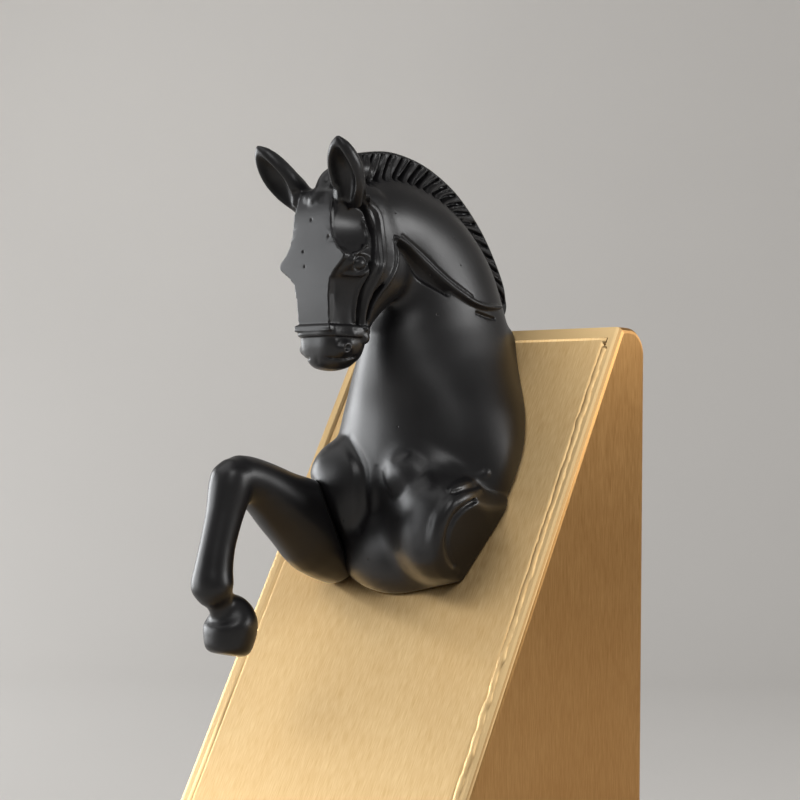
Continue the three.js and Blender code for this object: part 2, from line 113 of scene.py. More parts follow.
def black_casting():
    """Cast metal under a satin black stove enamel: soft broad highlights, faint orange peel, a few pinholes."""
    material, tree, shader = new_material("satin black enamel on casting")
    at = place(tree)
    tone = node(tree, "ShaderNodeTexNoise", Vector=at, Scale=60.0, Detail=4.0)
    colour = ramp(tree, tone.outputs["Fac"], [(0.3, linear("0f0e10")), (0.7, linear("171618"))])
    tree.links.new(colour, shader.inputs["Base Color"])
    # orange peel about 0.7 mm across, grain about 0.15 mm
    peel = node(tree, "ShaderNodeTexNoise", Vector=at, Scale=1400.0, Detail=2.0)
    grain = node(tree, "ShaderNodeTexNoise", Vector=at, Scale=5200.0, Detail=2.0)
    gloss = node(tree, "ShaderNodeMapRange", Value=tone.outputs["Fac"], i1=0.3, i2=0.7, i3=0.33, i4=0.42)
    tree.links.new(gloss.outputs[0], shader.inputs["Roughness"])
    both = node(
        tree, "ShaderNodeMath", {"operation": "MULTIPLY_ADD"}, i0=peel.outputs["Fac"], i1=0.6, i2=grain.outputs["Fac"]
    )
    # pinholes about 0.4 mm across, one every 8 mm or so
    holes = node(tree, "ShaderNodeTexVoronoi", Vector=at, Scale=130.0, Randomness=1.0)
    smooth = {"interpolation_type": "SMOOTHSTEP"}
    pit = node(tree, "ShaderNodeMapRange", smooth, Value=holes.outputs["Distance"], i1=0.02, i2=0.05, i3=0.0, i4=1.0)
    peel_bump = node(tree, "ShaderNodeBump", Height=both.outputs[0], Strength=0.12, Distance=0.0001)
    pit_bump = node(
        tree,
        "ShaderNodeBump",
        Height=pit.outputs[0],
        Strength=0.5,
        Distance=0.0002,
        Normal=peel_bump.outputs[0],
    )
    tree.links.new(pit_bump.outputs[0], shader.inputs["Normal"])
    return material


def brushed_gold(name, turn, across, low, high):
    """Stainless sheet, belt-brushed one way, then plated gold: fine scratches along the brushing,
    and reflections that smear across it."""
    material, tree, shader = new_material(name)
    shader.inputs["Metallic"].default_value = 1.0
    shader.inputs["Anisotropic"].default_value = 0.8
    sloping = None
    if across[1]:
        # faces that look out of the slope, the shell's flange among them, are brushed along it, and their colour is
        # painted lighter there as a painted highlight of the light they face
        facing = node(tree, "ShaderNodeVectorMath", {"operation": "DOT_PRODUCT"}, i1=tuple(OUT))
        tree.links.new(node(tree, "ShaderNodeTexCoord").outputs["Normal"], facing.inputs[0])
        sloping = node(tree, "ShaderNodeMapRange", Value=facing.outputs["Value"], i1=0.55, i2=0.95, i3=0.0, i4=1.0)
        other = node(tree, "ShaderNodeMath", {"operation": "SUBTRACT"}, i0=1.0, i1=sloping.outputs[0])
        side = node(tree, "ShaderNodeCombineXYZ", X=sloping.outputs[0], Y=other.outputs[0], Z=0.0)
    else:
        side = node(tree, "ShaderNodeCombineXYZ", X=across[0], Y=across[1], Z=across[2])
    tree.links.new(side.outputs[0], shader.inputs["Tangent"])
    # scratches 0.3 mm apart and some 4 mm long, drawn coarse enough to show, and broader bands
    fine = node(tree, "ShaderNodeTexNoise", Vector=place(tree, turn, (3300.0, 3300.0, 260.0)), Scale=1.0, Detail=3.0)
    broad = node(tree, "ShaderNodeTexNoise", Vector=place(tree, turn, (420.0, 420.0, 12.0)), Scale=1.0, Detail=2.0)
    cloud = node(tree, "ShaderNodeTexNoise", Vector=place(tree), Scale=30.0, Detail=2.0)
    streak = node(
        tree, "ShaderNodeMath", {"operation": "MULTIPLY_ADD"}, i0=broad.outputs["Fac"], i1=0.2, i2=fine.outputs["Fac"]
    )
    mixed = node(
        tree, "ShaderNodeMath", {"operation": "MULTIPLY_ADD"}, i0=cloud.outputs["Fac"], i1=0.35, i2=streak.outputs[0]
    )
    colour = ramp(tree, mixed.outputs[0], [(0.45, linear(low)), (1.1, linear(high))])
    if sloping:
        # painted highlight: slope-facing faces get a paler gold that stands in for the light they catch, not a
        # different plating
        painted_highlight_gold = linear("f0cf98")
        painted_highlight_mix = node(tree, "ShaderNodeMix", {"data_type": "RGBA"}, i0=sloping.outputs[0], i6=colour, i7=painted_highlight_gold)
        colour = painted_highlight_mix.outputs[2]
    tree.links.new(colour, shader.inputs["Base Color"])
    rough = node(tree, "ShaderNodeMapRange", Value=streak.outputs[0], i1=0.4, i2=0.9, i3=0.4, i4=0.5)
    tree.links.new(rough.outputs[0], shader.inputs["Roughness"])
    bump = node(tree, "ShaderNodeBump", Height=streak.outputs[0], Strength=0.1, Distance=0.0001)
    tree.links.new(bump.outputs[0], shader.inputs["Normal"])
    return material


def plain_metal(name, code, metallic, roughness, grain_mm, depth=0.2):
    """Machined or cast metal that is seen only when the statue is taken apart."""
    material, tree, shader = new_material(name)
    shader.inputs["Metallic"].default_value = metallic
    noise = node(tree, "ShaderNodeTexNoise", Vector=place(tree), Scale=1 / (grain_mm * MM), Detail=3.0)
    light = [min(1.0, c * 1.25) for c in linear(code)[:3]] + [1.0]
    colour = ramp(tree, noise.outputs["Fac"], [(0.3, linear(code)), (0.7, light)])
    tree.links.new(colour, shader.inputs["Base Color"])
    rough = node(
        tree, "ShaderNodeMapRange", Value=noise.outputs["Fac"], i1=0.2, i2=0.8, i3=roughness - 0.06, i4=roughness + 0.06
    )
    tree.links.new(rough.outputs[0], shader.inputs["Roughness"])
    bump = node(tree, "ShaderNodeBump", Height=noise.outputs["Fac"], Strength=depth, Distance=0.0001)
    tree.links.new(bump.outputs[0], shader.inputs["Normal"])
    return material


def pressed_felt():
    """Black wool felt: no gloss, a fuzz of short fibres."""
    material, tree, shader = new_material("pressed wool felt")
    shader.inputs["Sheen Weight"].default_value = 0.4
    shader.inputs["Roughness"].default_value = 0.95
    fibres = node(tree, "ShaderNodeTexNoise", Vector=place(tree), Scale=3500.0, Detail=5.0)
    colour = ramp(tree, fibres.outputs["Fac"], [(0.35, linear("141414")), (0.7, linear("2a2a2b"))])
    tree.links.new(colour, shader.inputs["Base Color"])
    bump = node(tree, "ShaderNodeBump", Height=fibres.outputs["Fac"], Strength=0.6, Distance=0.0003)
    tree.links.new(bump.outputs[0], shader.inputs["Normal"])
    return material


enamel = black_casting()
upright_gold = brushed_gold("gold-plated stainless, brushed upright", (0, 0, 0), (0, 1, 0), "c08c50", "d8a86c")
slope_gold = brushed_gold("gold-plated stainless, brushed down the slope", (LEAN, 0, 0), (1, 0, 0), "e0b67a", "f5d6a0")
zinc = plain_metal("zinc-plated steel", "8f9296", 1.0, 0.38, 1.5)
brass = plain_metal("machined brass", "b59a52", 1.0, 0.3, 0.8, 0.1)
iron = plain_metal("grey cast iron", "35363a", 0.8, 0.62, 0.7, 0.5)
felt = pressed_felt()

FINISHES = {
    "black_patina": enamel,
    "brushed_gold": upright_gold,
    "brushed_gold_panel": slope_gold,
    "plain_steel": zinc,
    "insert_brass": brass,
    "cast_iron": iron,
    "felt": felt,
}
for part in frame["record"]["subparts"]:
    mesh = frame["nodes"][part["node"]].data
    mesh.materials.clear()
    mesh.materials.append(FINISHES[part["material_slot"]])


# ---------------------------------------------------------------- modelling clay
# A block of clay is a grid of distances to its skin, in millimetres from EDGE: negative inside.
GRAIN = 0.3
BAND = 4.0


def segments(points, radii, x, y, z):
    """Distance to a chain of tapered round segments."""
    best = None
    for (a, b), (ra, rb) in zip(zip(points, points[1:]), zip(radii, radii[1:])):
        a, b = np.array(a, float), np.array(b, float)
        run = b - a
        length = max(float(run @ run), 1e-9)
        t = np.clip(((x - a[0]) * run[0] + (y - a[1]) * run[1] + (z - a[2]) * run[2]) / length, 0, 1)
        away = np.sqrt(
            (x - a[0] - t * run[0]) ** 2 + (y - a[1] - t * run[1]) ** 2 + (z - a[2] - t * run[2]) ** 2
        )
        away = away - (ra + t * (rb - ra))
        best = away if best is None else np.minimum(best, away)
    return best


def curve(points, per=6):
    """Points on a smooth curve through the given ones; extra columns are carried along."""
    p = np.array(points, float)
    if len(p) < 3:
        t = np.linspace(0, 1, per + 1)[:, None]
        return p[0] * (1 - t) + p[-1] * t
    ends = np.vstack([2 * p[0] - p[1], p, 2 * p[-1] - p[-2]])
    out = []
    for i in range(1, len(ends) - 2):
        t = np.linspace(0, 1, per, endpoint=False)[:, None]
        a, b, c, d = ends[i - 1 : i + 3]
        out.append(
            0.5 * (2 * b + (c - a) * t + (2 * a - 5 * b + 4 * c - d) * t**2 + (3 * b - a - 3 * c + d) * t**3)
        )
    return np.vstack(out + [p[-1:]])


class Clay:
    def __init__(self, node_name, room=6.0):
        """Starts from a CAD node's solid."""
        copy = bmesh.new()
        copy.from_mesh(frame["nodes"][node_name].data)
        bmesh.ops.remove_doubles(copy, verts=copy.verts, dist=1e-6)
        points = np.array([(v.co - EDGE) / MM for v in copy.verts], np.float32)
        faces = np.array([[v.index for v in f.verts] for f in copy.faces], np.uint32)
        copy.free()
        self.first = np.floor((points.min(0) - room) / GRAIN).astype(int)
        count = np.ceil((points.max(0) + room) / GRAIN).astype(int) - self.first
        scale = openvdb.createLinearTransform(voxelSize=GRAIN)
        level = openvdb.FloatGrid.createLevelSetFromPolygons(
            points, triangles=faces, transform=scale, halfWidth=BAND / GRAIN
        )
        self.field = np.empty(count, np.float32)
        level.copyToArray(self.field, ijk=tuple(int(i) for i in self.first))

    def window(self, low, high, margin):
        """The part of the block between two corners, with its x, y and z."""
        low = np.maximum(np.floor((np.array(low) - margin) / GRAIN).astype(int) - self.first, 0)
        high = np.ceil((np.array(high) + margin) / GRAIN).astype(int) - self.first + 1
        high = np.minimum(high, self.field.shape)
        if (high <= low).any():
            return None
        axes = [(np.arange(a, b) + f) * GRAIN for a, b, f in zip(low, high, self.first)]
        part = tuple(slice(a, b) for a, b in zip(low, high))
        x = axes[0][:, None, None].astype(np.float32)
        y = axes[1][None, :, None].astype(np.float32)
        z = axes[2][None, None, :].astype(np.float32)
        return part, x, y, z

    def add(self, part, away, blend):
        """Joins a shape on, with a fillet of about blend."""
        here = self.field[part]
        if blend <= 0:
            self.field[part] = np.minimum(here, away)
            return
        h = np.clip(0.5 + 0.5 * (here - away) / blend, 0, 1)
        self.field[part] = here * (1 - h) + away * h - blend * h * (1 - h)

    def cut(self, part, away, blend):
        """Takes a shape out, with a fillet of about blend."""
        here = self.field[part]
        away = -away
        if blend <= 0:
            self.field[part] = np.maximum(here, away)
            return
        h = np.clip(0.5 - 0.5 * (here - away) / blend, 0, 1)
        self.field[part] = here * (1 - h) + away * h + blend * h * (1 - h)

    def lump(self, centre, radii, turn=(0, 0, 0), blend=1.5, sign=1):
        """An egg, turned by degrees about X, Y and Z: added, or scooped out where sign is -1."""
        reach = max(radii)
        found = self.window(np.array(centre) - reach, np.array(centre) + reach, blend + 2)
        if found is None:
            return
        part, x, y, z = found
        spin = (
            Matrix.Rotation(math.radians(turn[2]), 3, "Z")
            @ Matrix.Rotation(math.radians(turn[1]), 3, "Y")
            @ Matrix.Rotation(math.radians(turn[0]), 3, "X")
        )
        spin = np.array(spin)
        p = [x - centre[0], y - centre[1], z - centre[2]]
        q = [sum(spin[j][i] * p[j] for j in range(3)) for i in range(3)]
        k0 = np.sqrt(sum((q[i] / radii[i]) ** 2 for i in range(3)))
        k1 = np.sqrt(sum((q[i] / radii[i] ** 2) ** 2 for i in range(3))) + 1e-6
        away = k0 * (k0 - 1) / k1
        (self.add if sign > 0 else self.cut)(part, away, blend)

    def cord(self, stations, blend=1.0, sign=1, per=5):
        """A tapered round cord through [x, y, z, radius] stations: laid on, or pressed in and lifted off."""
        path = curve(stations, per)
        reach = float(path[:, 3].max())
        found = self.window(path[:, :3].min(0) - reach, path[:, :3].max(0) + reach, blend + 1.5)
        if found is None:
            return
        part, x, y, z = found
        away = segments(path[:, :3], path[:, 3], x, y, z)
        (self.add if sign > 0 else self.cut)(part, away, blend)

    def stroke(self, stations, height, flat=0.0, per=5):
        """Raises the skin (or sinks it, height below 0) near [x, y, z, half width] stations.
        flat is the share of the half width that stays level before it falls away."""
        path = curve(stations, per)
        reach = float(path[:, 3].max())
        found = self.window(path[:, :3].min(0) - reach, path[:, :3].max(0) + reach, 0.5)
        if found is None:
            return
        part, x, y, z = found
        best = None
        for a, b in zip(path, path[1:]):
            run = b[:3] - a[:3]
            length = max(float(run @ run), 1e-9)
            t = np.clip(((x - a[0]) * run[0] + (y - a[1]) * run[1] + (z - a[2]) * run[2]) / length, 0, 1)
            away = (x - a[0] - t * run[0]) ** 2 + (y - a[1] - t * run[1]) ** 2 + (z - a[2] - t * run[2]) ** 2
            share = np.sqrt(away) / (a[3] + t * (b[3] - a[3]))
            best = share if best is None else np.minimum(best, share)
        fall = np.clip((1 - best) / max(1 - flat, 1e-3), 0, 1)
        self.field[part] -= height * fall * fall * (3 - 2 * fall)

    def etch(self, stations, height, side=(-40, 40), flat=0.0, per=5):
        """Like stroke, for [y, z, half width] stations: it goes straight through from side to side,
        so it marks both flanks alike wherever they are, between two values of x."""
        path = curve(stations, per)
        reach = float(path[:, 2].max())
        low = [side[0], path[:, 0].min() - reach, path[:, 1].min() - reach]
        high = [side[1], path[:, 0].max() + reach, path[:, 1].max() + reach]
        found = self.window(low, high, 0.3)
        if found is None:
            return
        part, x, y, z = found
        best = None
        for a, b in zip(path, path[1:]):
            run = b[:2] - a[:2]
            length = max(float(run @ run), 1e-9)
            t = np.clip(((y - a[0]) * run[0] + (z - a[1]) * run[1]) / length, 0, 1)
            away = np.sqrt((y - a[0] - t * run[0]) ** 2 + (z - a[1] - t * run[1]) ** 2)
            share = away / (a[2] + t * (b[2] - a[2]))
            best = share if best is None else np.minimum(best, share)
        fall = np.clip((1 - best) / max(1 - flat, 1e-3), 0, 1)
        gate = np.clip((x - side[0]) / 1.0, 0, 1) * np.clip((side[1] - x) / 1.0, 0, 1)
        self.field[part] -= height * gate * fall * fall * (3 - 2 * fall)

    def fin(self, crest, depth, thick, blend):
        """An upright plate in the middle plane, hung below a crest line of [y, z] points."""
        line = curve([[p[0], p[1], 0, 0] for p in crest], 8)[:, :2]
        along = np.gradient(line, axis=0)
        along /= np.linalg.norm(along, axis=1)[:, None]
        inner = line + np.stack([along[:, 1], -along[:, 0]], 1) * depth
        path = np.column_stack([inner, np.full(len(line), depth)])
        low = [-thick, path[:, 0].min() - depth, path[:, 1].min() - depth]
        high = [thick, path[:, 0].max() + depth, path[:, 1].max() + depth]
        part, x, y, z = self.window(low, high, 2.5)
        best = None
        for a, b in zip(path, path[1:]):
            run = b[:2] - a[:2]
            length = max(float(run @ run), 1e-9)
            t = np.clip(((y - a[0]) * run[0] + (z - a[1]) * run[1]) / length, 0, 1)
            away = np.sqrt((y - a[0] - t * run[0]) ** 2 + (z - a[1] - t * run[1]) ** 2) - a[2]
            best = away if best is None else np.minimum(best, away)
        cheek = np.abs(x) - (thick + np.clip(-best, 0, 6) * 0.12)
        h = np.clip(0.5 + 0.5 * (best - cheek) / 1.0, 0, 1)
        plate = cheek * (1 - h) + best * h + 1.0 * h * (1 - h)
        self.add(part, plate, blend)

    def shape(self, base, tip, opening, halves, deep, shift=0.0, ends=(0.0, 1.0)):
        """Distance to a leaf from base to tip: halves are its half widths, deep its depth against its width."""
        base, tip = np.array(base, float), np.array(tip, float)
        length = float(np.linalg.norm(tip - base))
        w = (tip - base) / length
        v = np.array(opening, float)
        v -= (v @ w) * w
        v /= np.linalg.norm(v)
        u = np.cross(v, w)
        most = max(halves) * 1.3 + 1
        part, x, y, z = self.window(np.minimum(base, tip) - most, np.maximum(base, tip) + most, 1.0)
        p = [x - base[0], y - base[1], z - base[2]]
        across = p[0] * u[0] + p[1] * u[1] + p[2] * u[2]
        out = p[0] * v[0] + p[1] * v[1] + p[2] * v[2] - shift
        t = (p[0] * w[0] + p[1] * w[1] + p[2] * w[2]) / length
        a = np.interp(t, np.linspace(0, 1, len(halves)), halves)
        away = (np.sqrt((across / a) ** 2 + (out / (a * deep)) ** 2) - 1) * a * min(deep, 1.0)
        away = np.maximum(away, (ends[0] - t) * length)
        away = np.maximum(away, (t - ends[1]) * length)
        return part, away.astype(np.float32)

    def strap_round(self, low_z, high_z, behind, thick):
        """A band that follows the skin all the way round, between two heights, in front of a y."""
        part, x, y, z = self.window((-20, -90, low_z), (20, behind, high_z), 2.0)
        here = self.field[part] - thick
        middle, half = (low_z + high_z) / 2, (high_z - low_z) / 2
        slab = np.maximum(np.abs(z - middle) - half, y - behind) + 0 * x
        k = 0.7
        h = np.clip(0.5 + 0.5 * (here - slab) / k, 0, 1)
        self.add(part, slab * (1 - h) + here * h + k * h * (1 - h), 0.25)

    def soften(self, radius):
        """The field averaged over about that radius."""
        reach = max(1, int(round(radius / GRAIN)))
        soft = self.field
        for _ in range(2):
            for axis in range(3):
                room = [(reach + 1, reach) if a == axis else (0, 0) for a in range(3)]
                total = np.cumsum(np.pad(soft, room, mode="edge"), axis=axis, dtype=np.float64)
                upper = np.take(total, range(2 * reach + 1, total.shape[axis]), axis=axis)
                lower = np.take(total, range(0, total.shape[axis] - 2 * reach - 1), axis=axis)
                soft = ((upper - lower) / (2 * reach + 1)).astype(np.float32)
        return soft

    def polish(self, centre, radii, radius):
        """Softens the skin inside an egg, fading out to its edge."""
        found = self.window(np.array(centre) - radii, np.array(centre) + radii, 3 * radius)
        part, x, y, z = found
        whole, self.field = self.field, self.field[part]
        calm = self.soften(radius)
        self.field = whole
        away = np.sqrt(sum(((p - c) / r) ** 2 for p, c, r in zip((x, y, z), centre, radii)))
        share = np.clip((1 - away) / 0.35, 0, 1)
        share = share * share * (3 - 2 * share)
        self.field[part] = self.field[part] * (1 - share) + calm * share

    def object(self, name, most):
        """The clay's skin as a finished piece of at most so many triangles."""
        grid = openvdb.FloatGrid(1.5)
        grid.transform = openvdb.createLinearTransform(voxelSize=GRAIN)
        grid.copyFromArray(np.clip(self.field, -1.5, 1.5).astype(np.float32), ijk=tuple(int(i) for i in self.first))
        points, quads = grid.convertToQuads(isovalue=0.0)
        # keep the largest body of clay
        label = np.arange(len(points))
        while True:
            least = label[quads].min(axis=1)
            before = label.copy()
            for corner in range(4):
                np.minimum.at(label, quads[:, corner], least)
            label = label[label]
            if (label == before).all():
                break
        kept = label == np.bincount(label).argmax()
        quads = (np.cumsum(kept) - 1)[quads[kept[quads[:, 0]]]]
        points = points[kept] * MM + np.array(EDGE)
        mesh = bpy.data.meshes.new(name)
        mesh.from_pydata(points.tolist(), [], quads.tolist())
        shape = bmesh.new()
        shape.from_mesh(mesh)
        bmesh.ops.recalc_face_normals(shape, faces=shape.faces)
        shape.to_mesh(mesh)
        shape.free()
        made = bpy.data.objects.new(name, mesh)
        bpy.context.scene.collection.objects.link(made)
        count = sum(len(p.vertices) - 2 for p in mesh.polygons)
        if count > most:
            thin = made.modifiers.new("thin", "DECIMATE")
            thin.ratio = most / count
            finished = bpy.data.meshes.new_from_object(made.evaluated_get(bpy.context.evaluated_depsgraph_get()))
            made.modifiers.clear()
            made.data = finished
        made.data.shade_smooth()
        # level faces keep their own shading beside the small faces of their edges
        made.modifiers.new("weighted normals", "WEIGHTED_NORMAL").weight = 80
        return made


# ---------------------------------------------------------------- the horse
CREST = [(-57, 40.5), (-52.6, 42.3), (-42.1, 43.9), (-32, 43.1), (-23.6, 40.9), (-15.1, 37.1), (-8.4, 32.5)]
CREST += [(-1.7, 26.4), (3.8, 19.5), (7.6, 13.4), (9.0, 8.5)]


def trim_face(clay, side):
    """Temples and the cheeks of the nose fall away behind the front plane."""
    clay.lump((side * 16.2, -71, 23.4), (9.9, 21, 9.3), blend=0.3, sign=-1)
    nose = [(side * 19.2, -69, 1.0, 14), (side * 19.2, -69, -3.0, 14), (side * 20.6, -69, -12, 14)]
    clay.cord(nose, blend=0.3, sign=-1)


def head(clay):
    for side in (1, -1):
        trim_face(clay, side)
    # forehead, brows and nose: one level plane with crisp edges
    part, x, y, z = clay.window((-13, -71, -3.4), (13, -60, 31), 0)
    heights = (-3.4, 0, 5, 8.5, 10.2, 11.6, 12.8, 13.8, 14.8, 16, 18, 21, 25, 28, 31)
    widths = (5.0, 5.2, 5.4, 6.0, 7.4, 9.2, 10.6, 10.8, 10.0, 8.6, 7.3, 6.4, 6.1, 5.8, 5.0)
    half = np.interp(z - 0.09 * x, heights, widths)
    level = -69.6 + 0.0033 * np.clip(18 - z, 0, 30) ** 2 + 0.02 * np.clip(z - 22, 0, 30) ** 2
    plane = np.maximum(np.maximum(np.abs(x) - half, level - y), y - level - 6.5)
    clay.cut(part, (y - level - 0.05).astype(np.float32), 0.3)
    clay.add(part, plane.astype(np.float32), 0.25)
    for side in (1, -1):
        # eye: a deep socket under the brow, the ball, and the lids
        clay.lump((side * 12.4, -63.4, 12.9), (2.9, 3.4, 2.5), turn=(20, 0, 0), blend=0.6, sign=-1)
        clay.lump((side * 9.6, -63.2, 12.9), (1.9, 2.2, 1.8), blend=0.15)
        lid = [(side * 11.4, -66.2, 15.0, 0.7), (side * 11.4, -63.8, 16.2, 0.9), (side * 10.4, -61.4, 17.6, 0.9)]
        clay.stroke(lid, 0.8, 0.2)
        lid = [(side * 8.6, -66.4, 10.2, 0.8), (side * 10.4, -63.6, 9.8, 1.0), (side * 10.8, -61.2, 11.2, 0.9)]
        clay.stroke(lid, 0.6, 0.2)
        reach = (3, 16) if side > 0 else (-16, -3)
        # bridle: cheek strap with a deep groove in front of it, and the jaw strap behind
        clay.etch(
            [(-64.4, 28.2, 0.7), (-59.5, 26.5, 0.8), (-57.2, 22, 0.9), (-57.6, 18, 1.0), (-59.6, 13.7, 1.0)]
            + [(-59.9, 9.9, 0.9), (-59.9, 5.6, 0.9), (-59.7, 1.2, 0.8), (-59.7, -1.6, 0.7)],
            -1.5, reach, 0.25,
        )
        clay.etch(
            [(-60.3, 29.5, 0.9), (-55.4, 26.6, 1.3), (-54.4, 20.8, 1.5), (-55.2, 15.7, 1.5), (-57.0, 10.4, 1.3)]
            + [(-57.8, 5.7, 1.1), (-58.0, 1.5, 1.0), (-57.9, -2.6, 0.9)],
            0.75, reach, 0.45,
        )
        clay.etch([(-59.4, 23.5, 0.5), (-58.9, 20.4, 0.7), (-60.4, 17.6, 0.6)], 0.5, reach, 0.2)
        clay.etch([(-60.9, 10.5, 0.6), (-61.4, 5.6, 0.7), (-61.2, -1, 0.6)], 0.5, reach, 0.2)
        clay.etch(
            [(-49.2, 19.2, 0.8), (-49.6, 14.6, 1.0), (-52.3, 9.6, 1.1), (-55.2, 4.9, 0.9), (-56.2, 0, 0.8)],
            0.7, reach, 0.2,
        )
        clay.etch([(-54.2, 8.6, 0.5), (-56.4, 4.6, 0.9), (-56.9, 0.6, 0.9), (-57.0, -1.5, 0.6)], -1.5, reach, 0.2)
    clay.strap_round(-4.9, -2.0, -55.2, 0.85)
    clay.strap_round(-3.55, -3.35, -55.2, 0.65)
    for side in (1, -1):
        clay.lump((side * 7.2, -57.4, -4.9), (1.0, 1.4, 1.5), blend=0.6)
        # nostril and its rim
        clay.lump((side * 6.0, -64.0, -7.6), (1.9, 1.9, 1.6), turn=(25, 0, 0), blend=1.2)
        clay.lump((side * 7.7, -64.0, -7.7), (1.1, 1.0, 0.7), turn=(35, 0, 0), blend=0.6, sign=-1)
        # mouth
        reach = (2, 14) if side > 0 else (-14, -2)
        clay.etch([(-67.5, -10.0, 0.3), (-64.0, -10.3, 0.45), (-60.0, -9.6, 0.4)], -0.7, reach)
    clay.lump((0, -62.2, -10.6), (4.9, 4.4, 2.5), blend=2.0)
    clay.cord([(0.4, -69.3, -6.6, 0.7), (0.4, -68.9, -9.4, 1.0), (0.2, -67.4, -11.4, 0.5)], blend=0.5, sign=-1)
    # pinholes left by the casting
    for x, z in ((-0.2, 23.7), (-2.7, 16), (5.6, 19.3), (-2.2, 12.3)):
        clay.lump((x, -69.6, z), (0.32, 0.4, 0.32), blend=0.1, sign=-1)
    # ears: a leaf with a thick rim round a deep hollow
    for side in (1, -1):
        base, tip = (side * 8.2, -62.0, 25.0), (side * 13.3, -75.4, 42.4)
        opening = (side * 0.17, -0.98, 0)
        halves = (1.2, 1.5, 2.2, 3.1, 3.9, 4.4, 4.7, 4.6, 4.2, 3.5, 2.4, 0.4)
        part, away = clay.shape(base, tip, opening, halves, 0.74, ends=(0.12, 1.0))
        clay.add(part, away, 1.2)
        halves = (0.2, 0.2, 0.4, 1.4, 2.4, 3.1, 3.4, 3.2, 2.7, 1.9, 1.0, 0.2)
        part, away = clay.shape(base, tip, opening, halves, 1.3, shift=2.7, ends=(0.2, 0.97))
        clay.cut(part, away, 0.5)
    # forelock: a rough tuft in the saddle between the ears
    clay.cord([(0, -52, 38, 3.0), (0.3, -59, 36.4, 2.6), (0.4, -64.4, 34.0, 2.2), (0.6, -67.4, 29.8, 1.4)], blend=1.8)
    rng = np.random.default_rng(7)
    for i in range(30):
        x = rng.uniform(-3.8, 4.2)
        sway, high = rng.uniform(-0.7, 0.7), rng.uniform(30.0, 37.5)
        stations = []
        for drop, wide in ((0, 0.7), (1.8, 1.5), (3.6, 0.6)):
            z = max(high - drop, 28.4)
            y = np.interp(z, (28, 31, 34, 37), (-69, -67.4, -65.6, -62))
            stations.append((x + sway * drop / 3.6, y, z, wide))
        clay.stroke(stations, rng.choice((0.35, -0.4)), 0.0)
    clay.polish((0, -70, 38), (22, 16, 14), 0.3)


def neck(clay):
    clay.fin(CREST, 4.2, 1.5, 1.2)
    line = curve([[y, z, 0, 0] for y, z in CREST], 16)[:, :2]
    step = np.linalg.norm(np.diff(line, axis=0), axis=1)
    run = np.concatenate([[0], np.cumsum(step)])
    along = np.gradient(line, axis=0)
    along /= np.linalg.norm(along, axis=1)[:, None]
    down = np.stack([along[:, 1], -along[:, 0]], 1)

    def spot(distance, depth):
        at = [np.interp(distance, run, line[:, i]) for i in (0, 1)]
        into = [np.interp(distance, run, down[:, i]) for i in (0, 1)]
        return at[0] + into[0] * depth, at[1] + into[1] * depth

    # locks of the mane, swept back more and more towards the withers
    rng = np.random.default_rng(11)
    for locks, deep, wide, first in ((21, -1.5, 0.95, 0.0), (34, -0.6, 0.5, 1.3)):
        for i in range(locks):
            start = first + (run[-1] - 3.0) * i / locks + rng.uniform(-0.35, 0.35)
            lead = 5.0 + 4.5 * (i / locks) ** 1.2
            bend = rng.uniform(-0.6, 0.6)
            stations = []
            for t in (0.0, 0.35, 0.7, 1.0):
                y, z = spot(min(start + lead * t + bend * math.sin(3.1 * t), run[-1] - 0.5), 7.2 - 6.2 * t)
                stations.append((y, z, wide * (1 - 0.45 * t)))
            clay.etch(stations, deep, (-9, 9), 0.0)
    # raised cord of the breast collar, from behind the jaw up to the withers
    for reach in ((4, 22), (-22, -4)):
        clay.etch(
            [(-49.0, 20.4, 0.9), (-46.3, 19.6, 1.2), (-43.6, 18.4, 1.3), (-39.2, 15.8, 1.3), (-34.9, 12.8, 1.3)]
            + [(-30.8, 10.0, 1.3), (-26.8, 7.8, 1.3), (-22.4, 5.9, 1.2), (-17.0, 5.2, 1.1), (-10, 5.6, 0.9)],
            1.45, reach, 0.15,
        )
        clay.etch(
            [(-48.9, 18.8, 0.8), (-45.4, 17.0, 1.4), (-41.4, 14.4, 1.8), (-37.0, 11.4, 1.8), (-31.0, 8.0, 1.2)],
            -1.2, reach, 0.0,
        )
        clay.etch([(-46, 21.6, 0.4), (-38.4, 17.6, 0.5), (-30, 11.7, 0.5), (-22, 7.6, 0.4)], -0.35, reach, 0.0)
        clay.etch([(-21.5, 3.4, 0.5), (-17.5, 2.6, 0.8), (-13.5, 2.2, 0.5)], -0.7, reach, 0.2)


